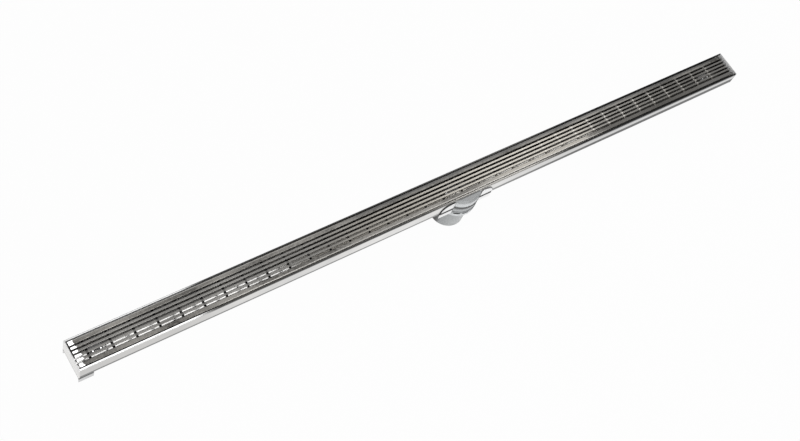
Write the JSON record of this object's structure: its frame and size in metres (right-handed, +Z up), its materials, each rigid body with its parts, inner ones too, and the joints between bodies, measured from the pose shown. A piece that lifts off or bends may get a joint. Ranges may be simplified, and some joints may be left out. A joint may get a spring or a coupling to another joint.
{
  "type": "linear shower drain",
  "caption": "Long narrow stainless floor channel with a lift-out wedge wire grate, a round outlet pot under it with a union ring, and a plain vertical spigot for the waste pipe.",
  "frame": {"origin": "on the outlet's axis, in the plane of the spigot's open lower end", "axes": "+X along the channel, towards the end with the shorter run to the outlet; +Y across it; +Z up, out of the spigot towards the grate"},
  "size_m": [1.8, 0.104, 0.13],
  "materials": {
    "channel_steel": "bright satin sheet, brushed along the channel",
    "grate_steel": "drawn and electropolished wire, grey satin",
    "waste_steel": "turned, satin",
    "grey_plastic": "moulded pipe-grey plastic, slightly glossy",
    "black_rubber": "matt black"
  },
  "bodies": {
    "root": {"bracket_left": "channel_steel", "bracket_liner_left": "black_rubber", "bracket_liner_right": "black_rubber", "bracket_right": "channel_steel", "cap_gasket": "black_rubber", "channel_body": "channel_steel", "end_plate_left": "channel_steel", "end_plate_right": "channel_steel", "floor_gasket": "black_rubber", "foot_end": "channel_steel", "grate_edge_bar_far": "grate_steel", "grate_edge_bar_near": "grate_steel", "grate_rod_01": "grate_steel", "grate_rod_02": "grate_steel", "grate_rod_03": "grate_steel", "grate_rod_04": "grate_steel", "grate_rod_05": "grate_steel", "grate_rod_06": "grate_steel", "grate_rod_07": "grate_steel", "grate_rod_08": "grate_steel", "grate_rod_09": "grate_steel", "grate_rod_10": "grate_steel", "grate_rod_11": "grate_steel", "grate_rod_12": "grate_steel", "grate_rod_13": "grate_steel", "grate_rod_14": "grate_steel", "grate_rod_15": "grate_steel", "grate_rod_16": "grate_steel", "grate_rod_17": "grate_steel", "grate_rod_18": "grate_steel", "grate_rod_19": "grate_steel", "grate_rod_20": "grate_steel", "grate_rod_21": "grate_steel", "grate_rod_22": "grate_steel", "grate_rod_23": "grate_steel", "grate_rod_24": "grate_steel", "grate_rod_25": "grate_steel", "grate_rod_26": "grate_steel", "grate_rod_27": "grate_steel", "grate_rod_28": "grate_steel", "grate_rod_29": "grate_steel", "grate_rod_30": "grate_steel", "grate_rod_31": "grate_steel", "grate_rod_32": "grate_steel", "grate_rod_33": "grate_steel", "grate_rod_34": "grate_steel", "grate_rod_35": "grate_steel", "grate_wire_1": "grate_steel", "grate_wire_2": "grate_steel", "grate_wire_3": "grate_steel", "grate_wire_4": "grate_steel", "hair_strainer": "waste_steel", "lift_plate_left": "grate_steel", "lift_plate_right": "grate_steel", "outlet_pot": "grey_plastic", "outlet_spigot": "grey_plastic", "side_cap": "grey_plastic", "spigot_seal": "black_rubber", "union_ring": "grey_plastic", "waste_flange": "waste_steel"}
  },
  "joints": []
}
